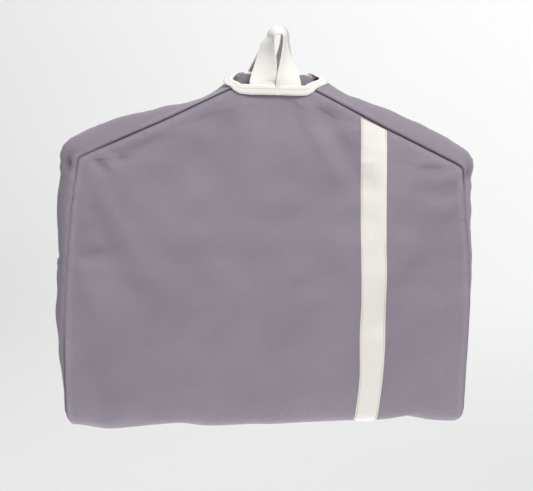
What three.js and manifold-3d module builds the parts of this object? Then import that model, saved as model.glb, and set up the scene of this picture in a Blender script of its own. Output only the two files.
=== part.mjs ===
// A canvas garment bag, folded in half and hanging from its two webbing handles.
// Millimetres, +Z up, X across the bag, -Y towards the front half's outer face.
// The origin is the hanging point: the underside of the handle loops, where a hook or a hand goes.
// Each half is a shallow gusseted case. The two halves are joined along a crease at the bottom, and
// the rear half is the front half mirrored in Y, with a closed end in place of the hanger opening.
import * as THREE from "three";
import Module from "manifold-3d";
import { mergeVertices } from "three/addons/utils/BufferGeometryUtils.js";

// Outline of a half, along the seam between its outer panel and its gusset
const NECK_Z = -82;
const NECK_HALF_WIDTH = 58;
const NECK_TILT = 10; // how much higher the inner edge of the opening is than its outer edge
const SHOULDER_Z = -190;
const SHOULDER_HALF_WIDTH = 282;
const FOLD_Z = -556;
const FOLD_HALF_WIDTH = 286;
const BELLY = 11; // how much wider than a straight line the sides are at mid height

// Depths, measured from the mid plane between the two halves
const FULL_DEPTH = 48;
const NECK_DEPTH = 44;
const FOLD_RADIUS = 20; // the outer panel turns round the crease at this radius
const FOLD_TAPER = 170; // height over which a half thins towards the crease
const CROWN = 6; // how far the outer panel swells at its middle
const INNER_EDGE_DEPTH = 6;
const INNER_SAG = 11; // how far the slack inner panels sink in along the zip
const INNER_TAPER = 60;
const CREASE_GAP = 0.4;

// Gusset bulge beyond the seam
const SIDE_BULGE = 15;
const SHOULDER_BULGE = 26;
const NECK_BULGE = 15;
const LEAST_BULGE = 1.7;

// Cloth, webbing and clearances
const CANVAS = 1.5;
const WEBBING = 2.2;
const WEBBING_WIDTH = 38;
const STRIPE_THICKNESS = 1.2;
const SEAM_GAP = 1;
const LAYER_GAP = 0.5;
const END_GAP = 0.3;
const BINDING_LIFT = 0.8;
const BINDING_THICKNESS = 2;
const BINDING_HEIGHT = 16;
const STRIPE_X = 152;
const STRIPE_DRIFT = 12; // how far the stripe wanders towards the middle on its way to the crease

// Zip: a coil zip with a 5 mm chain, and its slider
const COIL_HALF_WIDTH = 2.6;
const COIL_THICKNESS = 2.2;
const COIL_SPLIT = 0.5; // half the gap that the slider's web runs in
const TAPE_INNER = 3;
const TAPE_OUTER = 16;
const TAPE_THICKNESS = 0.8;
const ZIP_SLOT = 9; // half the width between the inner panels' edges
const ZIP_TOP_Z = -101;
const ZIP_END_Z = -132; // on the rear half
const SLIDER_Z = -113;
const SLIDER_WIDTH = 10;
const SLIDER_LENGTH = 15;
const PLATE = 1.3;
const PULL_LENGTH = 28;
const PULL_WIDTH = 7;

// Handle loop
const HANDLE_BASE_Z = -77; // clear of the binding, so that the loop can flop over it
const HANDLE_FLAT_Z = -62; // the legs lie flat side by side up to here
const HANDLE_TURNED_Z = -6; // and are edge-on from here up
const HANDLE_TOP_Y = -22;
const HANDLE_ARC_RADIUS = 7.5;

// Heights at which every panel, gusset and stripe has a row of points, so that neighbours match
const ROWS = [
  -82, -89, -98, -118, -150, -178, -190, -202, -225, -265, -310,
  -355, -396, -430, -462, -492, -518, -538, -556,
];
const SHOULDER_ROW = ROWS.indexOf(SHOULDER_Z);

const colours = {
  canvas: { color: 0x8e8691, roughness: 0.95, metalness: 0 },
  webbing: { color: 0xefebe6, roughness: 0.9, metalness: 0 },
  tape: { color: 0x7d7680, roughness: 0.9, metalness: 0 },
  coil: { color: 0x857e88, roughness: 0.5, metalness: 0 },
  metal: { color: 0xc4c5c8, roughness: 0.3, metalness: 1 },
};
const materials = Object.fromEntries(
  Object.entries(colours).map(([name, look]) => [name, new THREE.MeshStandardMaterial(look)]),
);

const wasm = await Module();
wasm.setup();

// ---- small helpers ----

const lerp = THREE.MathUtils.lerp;
const ease = (x, from, to) => THREE.MathUtils.smoothstep(x, from, to);

function mesh(name, material, geometry, mirrored = false) {
  const made = new THREE.Mesh(geometry, materials[material]);
  made.name = name;
  if (mirrored) made.scale.x = -1;
  return made;
}

// A closed block of nu x nv x nw cells. place(u, v, w), each 0 to 1, says where its points go;
// u across, v up and w outwards have to make a right-handed set.
function shapedBlock(nu, nv, nw, place) {
  const geometry = new THREE.BoxGeometry(1, 1, 1, nu, nv, nw);
  const position = geometry.getAttribute("position");
  for (let i = 0; i < position.count; i++) {
    const p = place(position.getX(i) + 0.5, position.getY(i) + 0.5, position.getZ(i) + 0.5);
    position.setXYZ(i, p[0], p[1], p[2]);
  }
  return geometry;
}

function solidOf(geometry) {
  const bare = geometry.clone();
  bare.deleteAttribute("normal");
  bare.deleteAttribute("uv");
  const merged = mergeVertices(bare, 1e-4);
  return new wasm.Manifold(
    new wasm.Mesh({
      numProp: 3,
      vertProperties: merged.attributes.position.array,
      triVerts: new Uint32Array(merged.index.array),
    }),
  );
}

function geometryOf(solid) {
  const made = solid.getMesh();
  return new THREE.BufferGeometry()
    .setAttribute("position", new THREE.BufferAttribute(made.vertProperties, 3))
    .setIndex(new THREE.BufferAttribute(made.triVerts, 1));
}

const join = (...geometries) => geometryOf(geometries.map(solidOf).reduce((a, b) => a.add(b)));

function block(width, depth, height, x, y, z) {
  return new THREE.BoxGeometry(width, depth, height).translate(x, y, z);
}

// ---- the shape of a half, as functions of height ----

function seamHalfWidth(z) {
  if (z > SHOULDER_Z) {
    const down = (NECK_Z - z) / (NECK_Z - SHOULDER_Z);
    return lerp(NECK_HALF_WIDTH, SHOULDER_HALF_WIDTH, down);
  }
  const down = (SHOULDER_Z - z) / (SHOULDER_Z - FOLD_Z);
  return lerp(SHOULDER_HALF_WIDTH, FOLD_HALF_WIDTH, down) + BELLY * Math.sin(Math.PI * down);
}

function outerDepth(z) {
  const towardsNeck = (FULL_DEPTH - NECK_DEPTH) * ease(z, SHOULDER_Z, NECK_Z);
  return lerp(FOLD_RADIUS, FULL_DEPTH, ease(z, FOLD_Z, FOLD_Z + FOLD_TAPER)) - towardsNeck;
}

// across runs from 0 on the centre line to 1 at the side seam
function crown(across, z) {
  const up = ease(z, FOLD_Z + 40, FOLD_Z + 200) * (1 - ease(z, -200, NECK_Z - BINDING_HEIGHT));
  return CROWN * (1 - across * across) * up;
}

function innerDepth(across, z) {
  const slack = INNER_EDGE_DEPTH + INNER_SAG * (1 - across * across);
  return slack * ease(z, FOLD_Z, FOLD_Z + INNER_TAPER) + CREASE_GAP;
}

const innerRise = (z) => NECK_TILT * ease(z, -150, NECK_Z);

function bulge(z) {
  const shoulder = lerp(SHOULDER_BULGE, NECK_BULGE, ease(z, SHOULDER_Z + 30, NECK_Z));
  const full = lerp(SIDE_BULGE, shoulder, ease(z, SHOULDER_Z - 60, SHOULDER_Z));
  return Math.max(LEAST_BULGE, full * ease(z, FOLD_Z, FOLD_Z + 150));
}

// Outward direction of the seam line at a row, as [x, z]
function outward(row) {
  const above = ROWS[Math.max(row - 1, 0)];
  const below = ROWS[Math.min(row + 1, ROWS.length - 1)];
  const spread = seamHalfWidth(below) - seamHalfWidth(above);
  const direction = new THREE.Vector2(above - below, spread).normalize();
  return [direction.x, direction.y];
}

// A point of a gusset at a row: along runs from 0 at the outer seam to 1 at the inner seam, and
// inset is how far the point lies under the gusset's outside.
function gussetPoint(along, row, inset) {
  const z = ROWS[row];
  const [nx, nz] = outward(row);
  const out = (bulge(z) - inset) * 2 * Math.sqrt(along * (1 - along));
  const y = lerp(outerDepth(z) - inset, innerDepth(1, z) + inset, along);
  return [seamHalfWidth(z) + nx * out, -y, z + nz * out + along * innerRise(z)];
}

// v from 0 to 1 runs up the rows from one to another
const rowAt = (v, from, to) => Math.round(lerp(from, to, v));
const LAST_ROW = ROWS.length - 1;

// ---- sewn pieces of a half ----

function outerPanel() {
  return shapedBlock(8, LAST_ROW, 1, (u, v, w) => {
    const z = ROWS[rowAt(v, LAST_ROW, 0)];
    const across = 2 * u - 1;
    const depth = outerDepth(z) + crown(across, z) - CANVAS * (1 - w);
    return [across * (seamHalfWidth(z) - SEAM_GAP), -depth, z];
  });
}

// The right-hand inner panel, from the zip slot to the side seam
function innerPanel() {
  return shapedBlock(6, LAST_ROW, 1, (u, v, w) => {
    const z = ROWS[rowAt(v, LAST_ROW, 0)];
    const side = seamHalfWidth(z) - SEAM_GAP;
    const x = lerp(ZIP_SLOT, side, u);
    return [x, -(innerDepth(x / side, z) + CANVAS * w), z + innerRise(z)];
  });
}

// The right-hand gusset between two rows
function gusset(topRow, bottomRow) {
  const trim = (row, z) => z + (row === bottomRow ? END_GAP : 0);
  return shapedBlock(8, bottomRow - topRow, 1, (u, v, w) => {
    const row = rowAt(v, bottomRow, topRow);
    const p = gussetPoint(u, row, CANVAS * (1 - w));
    return [p[0], p[1], trim(row, p[2])];
  });
}

const stripeLeft = (z) => {
  const drift = STRIPE_DRIFT * (1 - ease(z, FOLD_Z, FOLD_Z + 140));
  return STRIPE_X - WEBBING_WIDTH / 2 - drift;
};

// Webbing stripe down the outer panel, its upper end cut along the shoulder seam
function stripe() {
  const slope = (NECK_Z - SHOULDER_Z) / (SHOULDER_HALF_WIDTH - NECK_HALF_WIDTH);
  const topRow = ROWS.indexOf(-150);
  return shapedBlock(2, LAST_ROW - topRow + 1, 1, (u, v, w) => {
    const row = rowAt(v, LAST_ROW, topRow - 1);
    const x = stripeLeft(ROWS[row]) + WEBBING_WIDTH * u;
    const seamZ = NECK_Z - (x - NECK_HALF_WIDTH) * slope - 2 * SEAM_GAP;
    const z = row < topRow ? seamZ : ROWS[row];
    const across = x / seamHalfWidth(z);
    return [x, -(outerDepth(z) + crown(across, z) + LAYER_GAP + STRIPE_THICKNESS * w), z];
  });
}

// ---- zip ----

// A strip of the zip on the right-hand side: x from near to far, its outer face lift above the
// inner panel's face
function zipStrip(near, far, thickness, lift, topZ) {
  const top = ROWS.findIndex((z) => z < topZ) - 1;
  return shapedBlock(1, LAST_ROW - top, 1, (u, v, w) => {
    const row = rowAt(v, LAST_ROW, top);
    const z = row === top ? topZ : ROWS[row];
    const face = Math.max(innerDepth(0, z) - lift, CREASE_GAP);
    return [lerp(near, far, u), -(face + thickness * w), z];
  });
}

function zipPieces(half, topZ) {
  const tape = () => zipStrip(TAPE_INNER, TAPE_OUTER, TAPE_THICKNESS, -(CANVAS + LAYER_GAP), topZ);
  const coil = () => zipStrip(COIL_SPLIT, COIL_HALF_WIDTH, COIL_THICKNESS, -LAYER_GAP, topZ);
  return ["right", "left"].flatMap((side) => [
    mesh(`zip_tape_${half}_${side}`, "tape", tape(), side === "left"),
    mesh(`zip_coil_${half}_${side}`, "coil", coil(), side === "left"),
  ]);
}

const ZIP_FACE_Y = -innerDepth(0, -300); // the face of the inner panels beside the zip

function zipStop(name, z) {
  const clip = block(6, 1.2, 2.5, 0, ZIP_FACE_Y + 0.4, z);
  return mesh(name, "metal", clip);
}

const COIL_FACE_Y = ZIP_FACE_Y - LAYER_GAP;
const TOP_PLATE_Y = COIL_FACE_Y + LAYER_GAP + PLATE / 2;
const BOTTOM_PLATE_Y = ZIP_FACE_Y - CANVAS - LAYER_GAP - TAPE_THICKNESS - LAYER_GAP - PLATE / 2;
const BRIDGE_HEIGHT = 3.2;
const BRIDGE_WALL = 1;
const PULL_AXIS_Y = TOP_PLATE_Y + PLATE / 2 + 1.1;

// Two plates either side of the chain, a web between them, and the bridge that holds the pull
function slider() {
  const topPlate = block(SLIDER_WIDTH, PLATE, SLIDER_LENGTH, 0, TOP_PLATE_Y, SLIDER_Z);
  const bottomPlate = block(SLIDER_WIDTH, PLATE, SLIDER_LENGTH, 0, BOTTOM_PLATE_Y, SLIDER_Z);
  const webDepth = TOP_PLATE_Y - BOTTOM_PLATE_Y;
  const web = block(0.6, webDepth, SLIDER_LENGTH - 4, 0, BOTTOM_PLATE_Y + webDepth / 2, SLIDER_Z);
  const arch = new THREE.Shape();
  arch.moveTo(-4.8, -0.5);
  arch.lineTo(-4.8, BRIDGE_HEIGHT - 1.2);
  arch.quadraticCurveTo(-4.8, BRIDGE_HEIGHT, -3.4, BRIDGE_HEIGHT);
  arch.lineTo(3.4, BRIDGE_HEIGHT);
  arch.quadraticCurveTo(4.8, BRIDGE_HEIGHT, 4.8, BRIDGE_HEIGHT - 1.2);
  arch.lineTo(4.8, -0.5);
  const inside = BRIDGE_HEIGHT - BRIDGE_WALL;
  arch.lineTo(4.8 - BRIDGE_WALL, -0.5);
  arch.lineTo(4.8 - BRIDGE_WALL, inside);
  arch.lineTo(BRIDGE_WALL - 4.8, inside);
  arch.lineTo(BRIDGE_WALL - 4.8, -0.5);
  const bridge = new THREE.ExtrudeGeometry(arch, { depth: 2.2, bevelEnabled: false, curveSegments: 3 })
    .translate(0, 0, -1.1)
    .rotateY(-Math.PI / 2)
    .translate(0, TOP_PLATE_Y + PLATE / 2, SLIDER_Z);
  return join(topPlate, bottomPlate, web, bridge);
}

// The pull tab hangs from a crossbar under the bridge, which passes through its upper slot
function pull() {
  const shape = new THREE.Shape();
  const half = PULL_WIDTH / 2;
  shape.moveTo(-3.2, 0.6);
  shape.lineTo(-3.2, -8);
  shape.quadraticCurveTo(-half, -9, -half, -11);
  shape.lineTo(-half, -PULL_LENGTH + half);
  shape.absarc(0, -PULL_LENGTH + half, half, Math.PI, 2 * Math.PI, false);
  shape.lineTo(half, -11);
  shape.quadraticCurveTo(half, -9, 3.2, -8);
  shape.lineTo(3.2, 0.6);
  const slot = new THREE.Path();
  slot.moveTo(-1.9, -0.6);
  slot.lineTo(1.9, -0.6);
  slot.lineTo(1.9, -6.6);
  slot.lineTo(-1.9, -6.6);
  const grip = new THREE.Path();
  grip.moveTo(-1.7, -14);
  grip.lineTo(1.7, -14);
  grip.lineTo(1.7, -22);
  grip.lineTo(-1.7, -22);
  shape.holes.push(slot, grip);
  return new THREE.ExtrudeGeometry(shape, { depth: 1.2, bevelEnabled: false, curveSegments: 8 })
    .translate(0, 0, -0.6)
    .rotateX(Math.PI / 2)
    .translate(0, PULL_AXIS_Y, SLIDER_Z);
}

// ---- webbing ----

// The binding tape goes once round the hanger opening, outside the cloth, and its two ends meet
// at the centre back
function neckBinding() {
  const sections = [];
  const add = (top, bottom, normal) => sections.push({ top, bottom, normal });
  const backY = (x) => -innerDepth(Math.abs(x) / NECK_HALF_WIDTH, NECK_Z);
  const backZ = NECK_Z + NECK_TILT;
  const back = (x) => add([x, backY(x), backZ], [x, backY(x), backZ - BINDING_HEIGHT], [0, 1, 0]);
  const front = (x) => add([x, -NECK_DEPTH, NECK_Z], [x, -NECK_DEPTH, NECK_Z - BINDING_HEIGHT], [0, -1, 0]);
  const side = (along, sign) => {
    const [nx, nz] = outward(1);
    const top = gussetPoint(along, 0, 0);
    const bottom = gussetPoint(along, 1, 0);
    const outness = Math.sin(Math.PI * along);
    const forward = -Math.cos(Math.PI * along);
    const normal = new THREE.Vector3(sign * nx * outness, forward, nz * outness).normalize();
    add([sign * top[0], top[1], top[2]], [sign * bottom[0], bottom[1], bottom[2]], normal.toArray());
  };
  const steps = [0, 0.08, 0.2, 0.35, 0.5, 0.65, 0.8, 0.92, 1];
  [-END_GAP, -30, -54].forEach(back);
  [...steps].reverse().forEach((along) => side(along, -1));
  [-54, -30, 0, 30, 54].forEach(front);
  steps.forEach((along) => side(along, 1));
  [54, 30, END_GAP].forEach(back);
  return shapedBlock(sections.length - 1, 1, 1, (u, v, w) => {
    const { top, bottom, normal } = sections[Math.round(u * (sections.length - 1))];
    const from = v > 0.5 ? top : bottom;
    return from.map((value, k) => value + normal[k] * (BINDING_LIFT + BINDING_THICKNESS * w));
  });
}

// A straight band on the rear half's end, which the rear handle is sewn to
function endBand() {
  const y = -(NECK_DEPTH + BINDING_LIFT + BINDING_THICKNESS / 2);
  return block(2 * NECK_HALF_WIDTH, BINDING_THICKNESS, BINDING_HEIGHT, 0, y, NECK_Z - BINDING_HEIGHT / 2);
}

// One length of webbing: up from the left, turning edge-on, over the top and down on the right
function handle() {
  const baseY = -(NECK_DEPTH + BINDING_LIFT + BINDING_THICKNESS / 2);
  const arcZ = WEBBING / 2 - HANDLE_ARC_RADIUS;
  const legSteps = 15;
  const arcSteps = 10;
  const steps = 2 * legSteps + arcSteps;
  const stations = [];
  const leg = (t, side) => {
    const z = lerp(HANDLE_BASE_Z, arcZ, t);
    const turn = (Math.PI / 2) * ease(z, HANDLE_FLAT_Z, HANDLE_TURNED_Z);
    const innerX = lerp(0.4, HANDLE_ARC_RADIUS, ease(z, HANDLE_FLAT_Z + 2, HANDLE_TURNED_Z));
    const half = WEBBING_WIDTH / 2;
    const y = lerp(baseY, HANDLE_TOP_Y, ease(z, HANDLE_BASE_Z, -5));
    const centre = new THREE.Vector3(side * (innerX + half * Math.cos(turn)), y, z);
    const width = new THREE.Vector3(-side * Math.cos(turn), Math.sin(turn), 0);
    const normal = new THREE.Vector3(-side * Math.sin(turn), -Math.cos(turn), 0);
    return { centre, width, normal };
  };
  const arc = (t) => {
    const angle = Math.PI * (1 - t);
    const out = new THREE.Vector3(Math.cos(angle), 0, Math.sin(angle));
    const centre = new THREE.Vector3(0, HANDLE_TOP_Y, arcZ).addScaledVector(out, HANDLE_ARC_RADIUS);
    return { centre, width: new THREE.Vector3(0, 1, 0), normal: out.negate() };
  };
  for (let i = 0; i < legSteps; i++) stations.push(leg(i / legSteps, -1));
  for (let i = 0; i <= arcSteps; i++) stations.push(arc(i / arcSteps));
  for (let i = legSteps - 1; i >= 0; i--) stations.push(leg(i / legSteps, 1));
  return shapedBlock(1, steps, 1, (u, v, w) => {
    const { centre, width, normal } = stations[Math.round(v * steps)];
    return centre
      .clone()
      .addScaledVector(width, WEBBING_WIDTH * (u - 0.5))
      .addScaledVector(normal, WEBBING * (w - 0.5))
      .toArray();
  });
}

// ---- the turn round the crease ----

// A half tube of cloth round the crease, from just under the front half to just under the rear
function foldWrap(fromX, toX, radius, thickness, cells) {
  const gap = END_GAP / radius;
  return shapedBlock(cells, 10, 1, (u, v, w) => {
    const angle = lerp(Math.PI - gap, gap, v);
    const r = radius - thickness * (1 - w);
    return [lerp(fromX, toX, u), -r * Math.cos(angle), FOLD_Z - r * Math.sin(angle)];
  });
}

// The tucked end of a side gusset inside the turn: half a disc
function foldGusset() {
  const radius = FOLD_RADIUS - CANVAS - 2 * LAYER_GAP;
  const disc = new THREE.Shape().absarc(0, 0, radius, Math.PI, 2 * Math.PI, false);
  return new THREE.ExtrudeGeometry(disc, { depth: CANVAS, bevelEnabled: false, curveSegments: 8 })
    .applyMatrix4(new THREE.Matrix4().makeBasis(
      new THREE.Vector3(0, 1, 0), new THREE.Vector3(0, 0, 1), new THREE.Vector3(1, 0, 0),
    ))
    .translate(FOLD_HALF_WIDTH - CANVAS - 2 * SEAM_GAP, 0, FOLD_Z - END_GAP);
}

// ---- assembly ----

function half(name) {
  const group = new THREE.Group();
  group.add(mesh(`${name}_panel`, "canvas", outerPanel()));
  for (const side of ["right", "left"]) {
    const mirrored = side === "left";
    group.add(mesh(`${name}_inner_panel_${side}`, "canvas", innerPanel(), mirrored));
    group.add(mesh(`${name}_shoulder_gusset_${side}`, "canvas", gusset(0, SHOULDER_ROW), mirrored));
    group.add(mesh(`${name}_side_gusset_${side}`, "canvas", gusset(SHOULDER_ROW, LAST_ROW), mirrored));
  }
  group.add(mesh(`${name}_stripe`, "webbing", stripe()));
  group.add(mesh(`${name}_handle`, "webbing", handle()));
  return group;
}

function frontHalf() {
  const group = half("front");
  group.add(mesh("neck_binding", "webbing", neckBinding()));
  group.add(...zipPieces("front", ZIP_TOP_Z));
  group.add(zipStop("zip_top_stop", ZIP_TOP_Z - 2));
  group.add(mesh("zip_slider", "metal", slider()));
  group.add(mesh("zip_pull", "metal", pull()));
  return group;
}

// Closes the rear half's end between the two panels
function endGusset() {
  return shapedBlock(4, 8, 1, (u, v, w) => {
    const [x, y, z] = gussetPoint(v, 0, CANVAS * (1 - w));
    return [(2 * u - 1) * (x - SEAM_GAP), y, z + END_GAP];
  });
}

function rearHalf() {
  const group = half("rear");
  group.add(mesh("rear_end_gusset", "canvas", endGusset()));
  group.add(mesh("rear_end_band", "webbing", endBand()));
  group.add(...zipPieces("rear", ZIP_END_Z));
  group.add(zipStop("zip_bottom_stop", ZIP_END_Z - 2));
  group.add(mesh("zip_end_tab", "canvas", block(26, CANVAS, 48, 0, ZIP_FACE_Y + CANVAS / 2 + 1, -104)));
  group.scale.y = -1;
  return group;
}

function fold() {
  const group = new THREE.Group();
  const side = FOLD_HALF_WIDTH - SEAM_GAP;
  const left = stripeLeft(FOLD_Z);
  const right = left + WEBBING_WIDTH;
  const over = FOLD_RADIUS + LAYER_GAP + STRIPE_THICKNESS;
  group.add(mesh("fold_wrap", "canvas", foldWrap(-side, side, FOLD_RADIUS, CANVAS, 4)));
  group.add(mesh("fold_stripe", "webbing", foldWrap(left, right, over, STRIPE_THICKNESS, 1)));
  group.add(mesh("fold_gusset_right", "canvas", foldGusset()));
  group.add(mesh("fold_gusset_left", "canvas", foldGusset(), true));
  return group;
}

const garmentBag = new THREE.Group();
garmentBag.add(frontHalf(), rearHalf(), fold());

export default garmentBag;
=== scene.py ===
"""A canvas garment bag, folded in half and hanging from its two webbing handle loops.

Metres, +Z up, X across the bag, -Y towards the front half's outer face. Every sewn piece is a grid
of points worked out from the same few functions of the bag's shape, so that neighbours meet in
their seams. drape() then gives the whole bag the set that its own weight gives it.
"""

import math

import bpy
import numpy as np
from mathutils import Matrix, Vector


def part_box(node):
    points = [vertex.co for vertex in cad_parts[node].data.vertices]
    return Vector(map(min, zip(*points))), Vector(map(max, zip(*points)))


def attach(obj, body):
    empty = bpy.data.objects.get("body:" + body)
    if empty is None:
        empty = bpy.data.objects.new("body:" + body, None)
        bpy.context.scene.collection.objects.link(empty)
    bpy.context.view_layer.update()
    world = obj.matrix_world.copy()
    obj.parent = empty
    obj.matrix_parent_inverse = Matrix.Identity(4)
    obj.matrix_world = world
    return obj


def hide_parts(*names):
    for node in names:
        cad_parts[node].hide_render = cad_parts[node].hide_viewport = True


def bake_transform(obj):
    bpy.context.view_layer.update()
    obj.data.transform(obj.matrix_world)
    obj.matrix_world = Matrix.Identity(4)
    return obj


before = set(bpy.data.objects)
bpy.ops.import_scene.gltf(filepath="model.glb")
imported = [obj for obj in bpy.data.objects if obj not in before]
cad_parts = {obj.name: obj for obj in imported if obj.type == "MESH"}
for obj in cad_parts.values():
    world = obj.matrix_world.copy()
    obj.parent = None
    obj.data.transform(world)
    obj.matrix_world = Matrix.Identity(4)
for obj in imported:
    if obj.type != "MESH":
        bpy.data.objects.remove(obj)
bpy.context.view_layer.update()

# ---- measures ----

panel_low, panel_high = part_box("front_panel")
NECK_Z = panel_high.z
FOLD_Z = panel_low.z
FOLD_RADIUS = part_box("fold_wrap")[1].y
NECK_HALF = 0.0475
SHOULDER_Z = -0.1915
SHOULDER_HALF = 0.282
FOLD_HALF = 0.2970
BELLY = 0.0085
CORNER = 0.0032  # how softly the outline turns at the shoulder
FOLD_TUCK = 0.010  # how far the lower corners are rounded

FULL_DEPTH = 0.048
NECK_DEPTH = 0.044
CROWN = 0.006
INNER_EDGE = 0.006
INNER_SAG = 0.011
LEAST_BULGE = 0.0017  # of a gusset beyond its seams
NECK_TILT = {-1: 0.015, 1: 0.002}  # how much higher the opening's back edge is: front half, rear half

CANVAS = 0.0012
WEBBING = 0.0020
WEBBING_WIDTH = 0.038
SEAM_DEPTH = 0.0034  # how far the sewn edges are drawn in
SEAM_WIDTH = 0.0042
# width of the painted shade line along each seam
SEAM_LINE = 0.0010
BINDING_HEIGHT = 0.0134
ZIP_SLOT = 0.009
TAPE = 0.0007


def ease(value, start, end):
    t = np.clip((np.asarray(value, float) - start) / (end - start), 0, 1)
    return t * t * (3 - 2 * t)


def lerp(a, b, t):
    return a + (b - a) * t


def bell(offset, width):
    """1 where offset is 0, fading to nothing over about two widths."""
    return np.exp(-((offset / width) ** 2))


def smoothed(values, length):
    """A row of values, each averaged with its neighbours over an odd length."""
    kernel = np.hanning(length)
    padded = np.pad(values, length // 2, mode="edge")
    return np.convolve(padded, kernel / kernel.sum(), "valid")


def curve(value, *points):
    """A smooth curve through points (position, height), positions rising, at value."""
    position, height = np.array(points, float).T
    slope = np.gradient(height, position)
    value = np.clip(np.asarray(value, float), position[0], position[-1])
    i = np.clip(np.searchsorted(position, value) - 1, 0, len(position) - 2)
    step = position[i + 1] - position[i]
    t = (value - position[i]) / step
    rise = height[i + 1] - height[i]
    start, end = slope[i] * step, slope[i + 1] * step
    return height[i] + start * t + (3 * rise - 2 * start - end) * t**2 + (start + end - 2 * rise) * t**3


def waves(u, v, length, seed, count=7):
    """Smooth seeded swells about -1 to 1 high and about length across."""
    draw = np.random.default_rng(seed)
    total = 0
    for _ in range(count):
        angle, phase = draw.uniform(0, 2 * np.pi, 2)
        turns = 2 * np.pi / (length * draw.uniform(0.7, 1.5))
        total = total + np.sin(turns * (u * np.cos(angle) + v * np.sin(angle)) + phase)
    return total / math.sqrt(count)


def along_line(x, z, start, end, width, taper=0.25):
    """1 on the line from start to end in the X-Z plane, fading over width and at both ends."""
    a, b = np.array(start), np.array(end)
    length = np.linalg.norm(b - a)
    dx, dz = (b - a) / length
    run = ((x - a[0]) * dx + (z - a[1]) * dz) / length
    off = (x - a[0]) * dz - (z - a[1]) * dx
    ends = ease(run, 0, taper) * ease(run, 1, 1 - taper)
    return bell(off, width) * ends


def folds(x, z, lines, taper=0.25):
    """How high folds stand, for lines of (height, start, end, width)."""
    lift = 0
    for height, start, end, width in lines:
        lift = lift + height * along_line(x, z, start, end, width, taper)
    return lift


# ---- the shape of a half, as functions of height ----


def half_width(z):
    shoulder = lerp(NECK_HALF, SHOULDER_HALF, (NECK_Z - z) / (NECK_Z - SHOULDER_Z))
    t = np.clip((SHOULDER_Z - z) / (SHOULDER_Z - FOLD_Z), 0, 1)
    side = lerp(SHOULDER_HALF, FOLD_HALF, t) + BELLY * np.sin(np.pi * t)
    return -CORNER * np.logaddexp(-shoulder / CORNER, -side / CORNER)


def outline_normal(z):
    """Outward (x, z) direction of the right-hand seam line."""
    step = 0.002
    slope = (half_width(z + step) - half_width(z - step)) / (2 * step)
    length = np.sqrt(1 + slope**2)
    return 1 / length, -slope / length


def seam_curl(distance):
    """1 on a seam, falling to 0 at SEAM_WIDTH from it."""
    return np.clip(1 - distance / SEAM_WIDTH, 0, 1) ** 1.6


def outer_depth(z):
    thin = ease(z, FOLD_Z, FOLD_Z + 0.170)
    return lerp(FOLD_RADIUS, FULL_DEPTH, thin) - (FULL_DEPTH - NECK_DEPTH) * ease(z, SHOULDER_Z, NECK_Z)


def crown(across, z):
    up = ease(z, FOLD_Z + 0.04, FOLD_Z + 0.20) * ease(z, NECK_Z - 0.016, -0.200)
    return CROWN * (1 - across**2) * up


def inner_depth(across, z):
    slack = INNER_EDGE + INNER_SAG * (1 - across**2)
    return slack * ease(z, FOLD_Z, FOLD_Z + 0.060) + 0.0004


def inner_rise(z, facing):
    return NECK_TILT[facing] * ease(z, -0.112, NECK_Z)


def bulge(x, z, facing):
    """How far a gusset stands out. The bag hangs turned a little, so its left gusset shows more."""
    left = curve(z, (-0.556, LEAST_BULGE), (-0.525, LEAST_BULGE), (-0.505, 0.004), (-0.45, 0.010),
                 (-0.35, 0.014), (-0.303, 0.016), (-0.244, 0.0205), (-0.208, 0.024), (-0.181, 0.030),
                 (-0.163, 0.0275), (-0.142, 0.0215), (-0.114, 0.0070), (-0.098, 0.003), (-0.082, 0.0075))
    right = curve(z, (-0.556, LEAST_BULGE), (-0.44, LEAST_BULGE), (-0.39, 0.003), (-0.33, 0.0075),
                  (-0.262, 0.0105), (-0.225, 0.0130), (-0.204, 0.0142), (-0.196, 0.0165), (-0.187, 0.0240),
                  (-0.165, 0.0282), (-0.136, 0.0240), (-0.107, 0.0155), (-0.082, 0.009))
    full = lerp(left, right, ease(x, -NECK_HALF, NECK_HALF))
    if facing > 0:
        full = full - 0.0045 * ease(z, -0.50, -0.44)
    return np.maximum(full, LEAST_BULGE)


def half_rows():
    """Heights from the neck to the crease, closer together over the shoulders."""
    shoulder = np.arange(NECK_Z, SHOULDER_Z - 0.014, -0.003)
    side = np.linspace(shoulder[-1], FOLD_Z, 72)[1:]
    return np.concatenate([shoulder, side])


ROWS = half_rows()
SHOULDER_TILT = 0.034


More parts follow.
